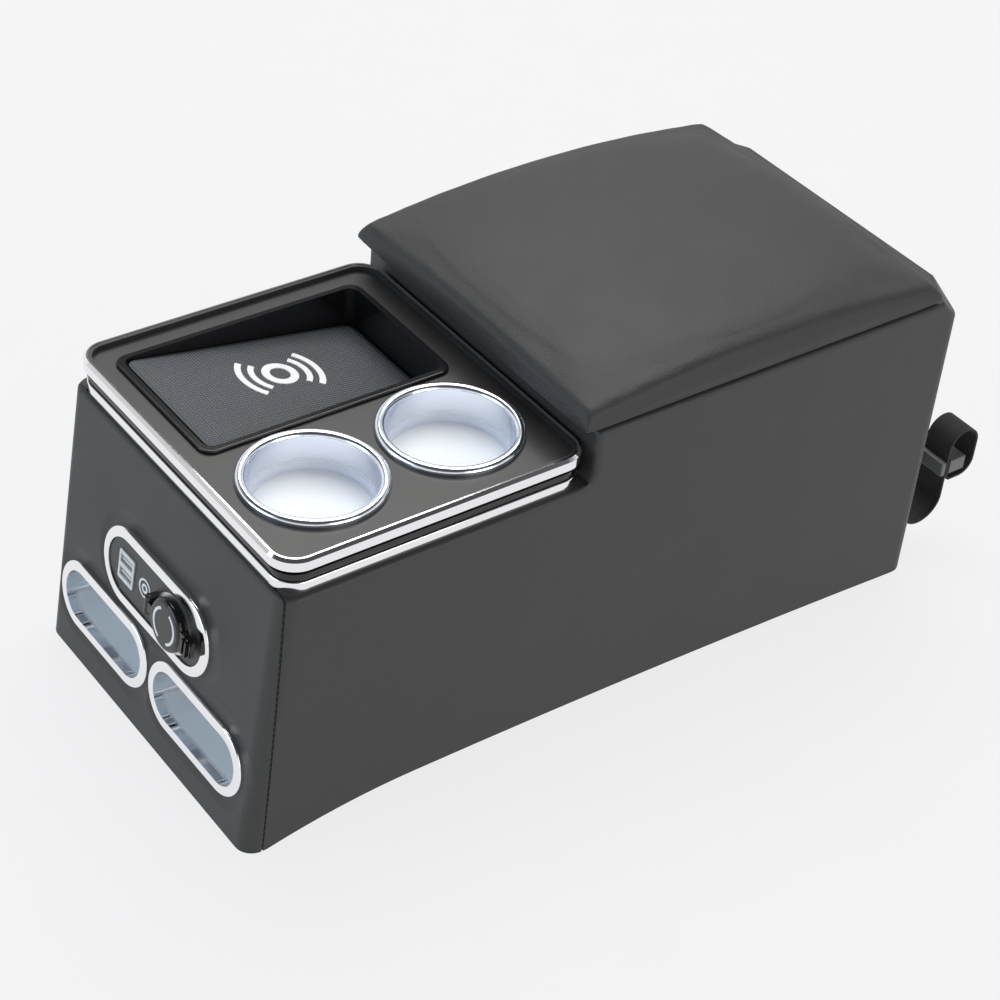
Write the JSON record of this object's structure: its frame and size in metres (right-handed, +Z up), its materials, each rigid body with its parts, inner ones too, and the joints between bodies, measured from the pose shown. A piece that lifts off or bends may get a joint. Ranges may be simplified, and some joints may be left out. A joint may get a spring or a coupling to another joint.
{
  "type": "car centre armrest box",
  "caption": "Padded car armrest box: hinged lid over a storage bin, console panel with charging tray and cup holders, front power plate and pockets, rear strap.",
  "frame": {"origin": "on the floor plane under the middle of the overall box, the strap included", "axes": "+X towards the lid and the strap (rear of the car), +Y towards the charging tray, +Z up"},
  "size_m": [0.527, 0.216, 0.2288],
  "materials": {
    "leather": "fine-grained black synthetic leather, satin",
    "lid_leather": "fine-grained black synthetic leather over foam",
    "board": "plain fibreboard, hidden under the leather",
    "liner": "black flocked lining",
    "panel": "satin dark grey moulding",
    "chrome": "bright plated plastic",
    "gap": "gloss black plastic",
    "cup_floor": "pale frosted disc",
    "tray": "gloss black plastic",
    "mat": "dotted rubber",
    "coil": "wound copper",
    "circuit": "green circuit board",
    "case": "black plastic case",
    "plate": "satin dark grey plastic",
    "port_frame": "pale grey plastic",
    "port": "white plastic",
    "steel": "plated steel",
    "cap": "gloss black plastic",
    "rubber": "black rubber",
    "webbing": "woven black webbing",
    "slider": "grey plastic"
  },
  "bodies": {
    "box": {"cover_front": "leather", "cover_side_left": "leather", "cover_side_right": "leather", "cover_rear": "leather", "cover_step": "leather", "base_board": "board", "side_board_left": "board", "side_board_right": "board", "front_board": "board", "rear_board": "board", "divider_board": "board", "panel_batten": "board", "bin_liner": "liner", "console_panel": "panel", "trim_upper": "chrome", "trim_lower": "chrome", "cup_front": "chrome", "cup_rear": "chrome", "pocket_left": "chrome", "pocket_right": "chrome", "power_bezel": "chrome", "gap_frame": "gap", "cup_mat_front": "cup_floor", "cup_mat_rear": "cup_floor", "charging_tray": "tray", "charging_mat": "mat", "charger_coil": "coil", "charger_board": "circuit", "charger_case": "case", "power_plate": "plate", "cap_bracket": "plate", "usb_frame": "port_frame", "usb_ports": "port", "socket_barrel": "steel", "socket_contact": "steel", "cap_pin": "steel", "hinge_leaf_left": "steel", "hinge_leaf_right": "steel", "hinge_pin_left": "steel", "hinge_pin_right": "steel", "hinge_body_screws": "steel", "strap_anchor": "steel", "strap_screws": "steel", "lid_bumpers": "rubber", "strap_webbing": "webbing", "strap_slider": "slider"},
    "lid": {"lid_cushion": "lid_leather", "lid_board": "board", "lid_lining": "liner", "lid_leaf_left": "steel", "lid_leaf_right": "steel", "hinge_lid_screws": "steel"},
    "cap": {"socket_cap": "cap"}
  },
  "joints": [
    {"name": "lid_hinge", "type": "hinge", "parent": "box", "child": "lid", "pos_m": [0.1921, 0, 0.2024], "axis": [0, 1, 0], "range_deg": [0, 100]},
    {"name": "cap_hinge", "type": "hinge", "parent": "box", "child": "cap", "pos_m": [-0.25972, -0.0014, 0.09455], "axis": [-0.1137, 0, -0.9935], "range_deg": [0, 110]}
  ]
}
